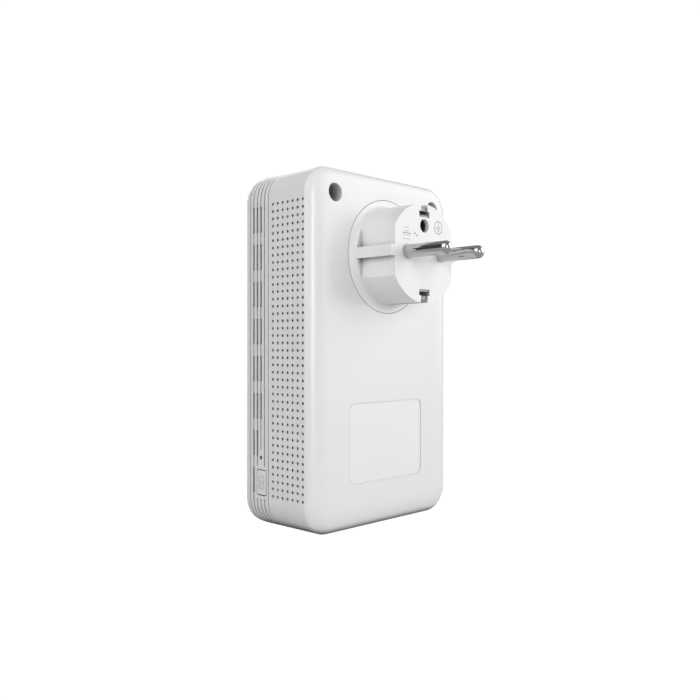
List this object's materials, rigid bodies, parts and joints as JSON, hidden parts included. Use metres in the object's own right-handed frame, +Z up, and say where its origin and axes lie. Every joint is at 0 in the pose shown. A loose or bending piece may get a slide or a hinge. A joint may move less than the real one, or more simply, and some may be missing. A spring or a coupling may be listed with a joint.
{
  "type": "powerline adapter",
  "caption": "White plug-through powerline network adapter with an earthed round-pin plug, a front socket, perforated sides, a side pairing button and network ports in its base.",
  "frame": {"origin": "centre of the plug's engaging face, midway between the pins", "axes": "+Y out of the plug face along the pins, towards the wall; +Z up along the casing's long side; +X towards the side with the pairing button"},
  "size_m": [0.0787, 0.0729, 0.1313],
  "materials": {
    "casing": "fine satin moulding",
    "casing_front": "fine satin moulding",
    "screw_steel": "zinc plated",
    "label": "blank satin film",
    "plug_plastic": "satin moulding",
    "pin_metal": "polished nickel plate",
    "contact_metal": "nickel plated spring metal",
    "brass": "stamped strip",
    "socket_plastic": "satin moulding",
    "shutter_plastic": "satin moulding",
    "spring_steel": "drawn wire",
    "button_plastic": "fine satin moulding",
    "dark_plastic": "moulded black",
    "plunger_plastic": "moulded",
    "lamp": "clear resin over white",
    "clear_plastic": "clear moulding",
    "board": "solder mask over glass laminate",
    "film": "thin insulating film",
    "ferrite": "sintered ferrite",
    "winding_tape": "polyester tape",
    "capacitor_sleeve": "shrunk sleeve",
    "filter_plastic": "moulded box",
    "fuse_ceramic": "ceramic tube",
    "varistor_coat": "dipped coating",
    "aluminium": "extruded",
    "shield_metal": "tinned sheet",
    "gold_contact": "gold flash"
  },
  "bodies": {
    "casing": {"rear_housing": "casing", "front_housing": "casing_front", "housing_screws": "screw_steel", "rating_label": "label", "plug_insert": "plug_plastic", "plug_pin_line": "pin_metal", "plug_pin_neutral": "pin_metal", "earth_sleeve": "contact_metal", "plug_earth_strip_top": "contact_metal", "plug_earth_strip_bottom": "contact_metal", "line_bar": "brass", "neutral_bar": "brass", "earth_bar": "brass", "socket_insert": "socket_plastic", "contact_carrier": "socket_plastic", "socket_contact_line": "brass", "socket_contact_neutral": "brass", "socket_earth_bracket": "contact_metal", "shutter_spring": "spring_steel", "pair_switch": "dark_plastic", "reset_switch": "dark_plastic", "indicator_lamps": "lamp", "light_guide": "clear_plastic", "mains_board": "board", "comms_board": "board", "insulating_sheet": "film", "board_header": "dark_plastic", "transformer_core": "ferrite", "transformer_winding": "winding_tape", "bulk_capacitor": "capacitor_sleeve", "output_capacitor": "capacitor_sleeve", "filter_capacitor": "filter_plastic", "mains_choke": "ferrite", "coupling_transformer": "winding_tape", "fuse_link": "fuse_ceramic", "surge_varistor": "varistor_coat", "processor": "dark_plastic", "heat_sink": "aluminium", "memory_chip": "dark_plastic", "jack_shield_left": "shield_metal", "jack_body_left": "dark_plastic", "jack_contacts_left": "gold_contact", "jack_magnetics_left": "dark_plastic", "jack_shield_right": "shield_metal", "jack_body_right": "dark_plastic", "jack_contacts_right": "gold_contact", "jack_magnetics_right": "dark_plastic"},
    "shutter": {"shutter": "shutter_plastic"},
    "pair_button": {"pair_button": "button_plastic", "pair_switch_plunger": "plunger_plastic"},
    "reset_plunger": {"reset_switch_plunger": "plunger_plastic"}
  },
  "joints": [
    {"name": "shutter_turn", "type": "hinge", "parent": "casing", "child": "shutter", "pos_m": [0, -0.0327, 0], "axis": [0, 1, 0], "range_deg": [0, 40], "stiffness_Nm_per_rad": 0.001, "springref_deg": -11.46, "deforming": ["shutter_spring"]},
    {"name": "pair_press", "type": "slide", "parent": "casing", "child": "pair_button", "axis": [-1, 0, 0], "range_m": [0, 0.0005], "stiffness_N_per_m": 600, "springref_m": -0.0005},
    {"name": "reset_press", "type": "slide", "parent": "casing", "child": "reset_plunger", "axis": [-1, 0, 0], "range_m": [0, 0.00025], "stiffness_N_per_m": 400, "springref_m": -0.0005}
  ]
}
